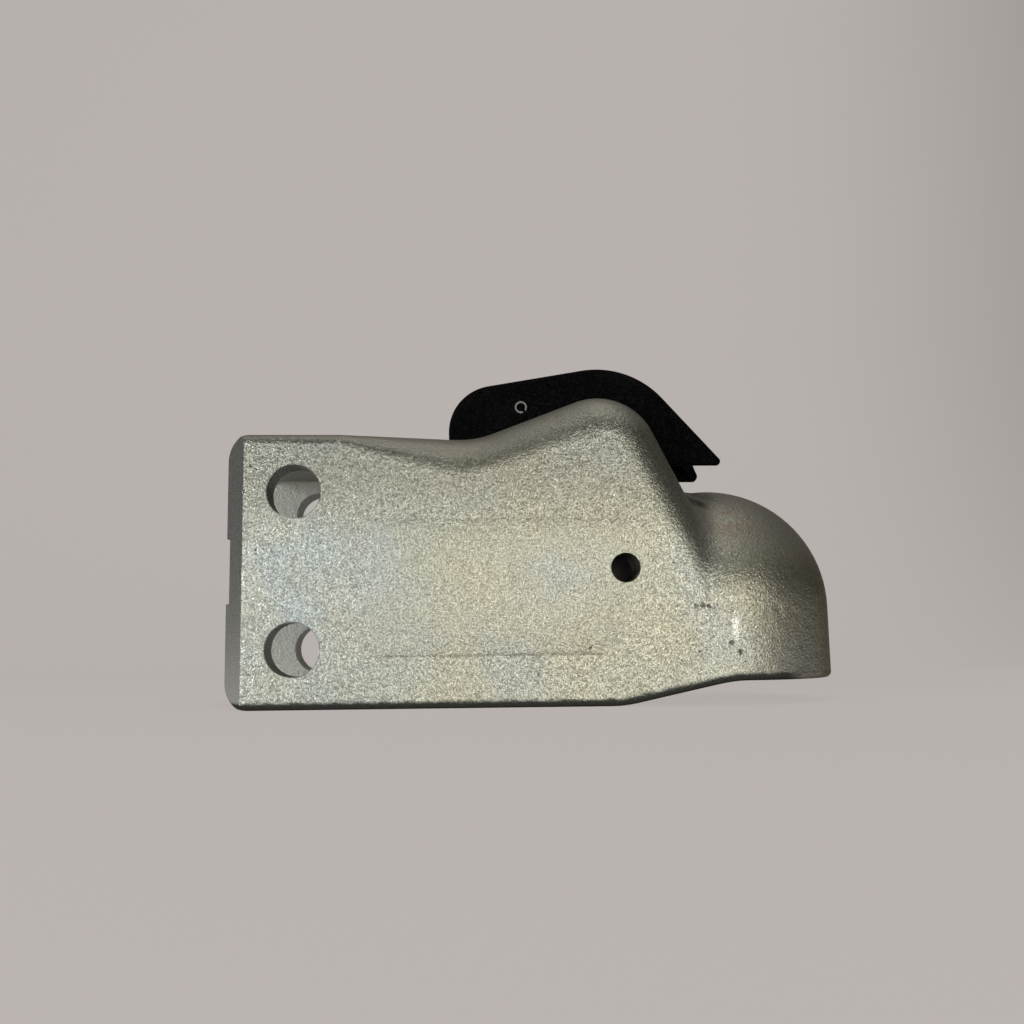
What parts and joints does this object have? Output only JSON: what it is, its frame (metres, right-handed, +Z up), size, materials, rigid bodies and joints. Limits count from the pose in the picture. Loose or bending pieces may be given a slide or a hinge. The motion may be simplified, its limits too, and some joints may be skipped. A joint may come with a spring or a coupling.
{
  "type": "trailer coupling head",
  "caption": "Cast coupling head for a trailer: a dome that drops over a towing ball, a sprung sliding latch lifted by a black saddle handle, and a hollow body that bolts to the trailer tongue.",
  "frame": {"origin": "centre of the towing ball when it is seated in the socket", "axes": "+X forward towards the towing vehicle, +Y to the left of travel, +Z up"},
  "size_m": [0.2071, 0.0852, 0.1155],
  "materials": {
    "zinc_casting": "zinc plated sand casting, pale and grainy",
    "plain_steel": "turned and zinc plated",
    "spring_steel": "plain spring steel",
    "black_plastic": "fine grained moulding"
  },
  "bodies": {
    "housing": {"housing": "zinc_casting", "spring_washer": "plain_steel", "latch_spring": "spring_steel"},
    "latch": {"latch_block": "zinc_casting", "pull_rod": "plain_steel", "rod_roll_pin": "spring_steel"},
    "handle": {"handle": "black_plastic", "handle_roll_pin": "spring_steel"}
  },
  "joints": [
    {"name": "latch_slide", "type": "slide", "parent": "housing", "child": "latch", "axis": [-0.3584, 0, 0.9336], "range_m": [0, 0.015], "stiffness_N_per_m": 6900, "springref_m": -0.006, "deforming": ["latch_spring"]},
    {"name": "handle_tilt", "type": "hinge", "parent": "latch", "child": "handle", "pos_m": [-0.0675, 0, 0.0698], "axis": [0, -1, 0], "range_deg": [0, 40]}
  ],
  "couplings": [
    {"joint": "handle_tilt", "follows": "latch_slide", "rad_per_m": 46.5}
  ]
}
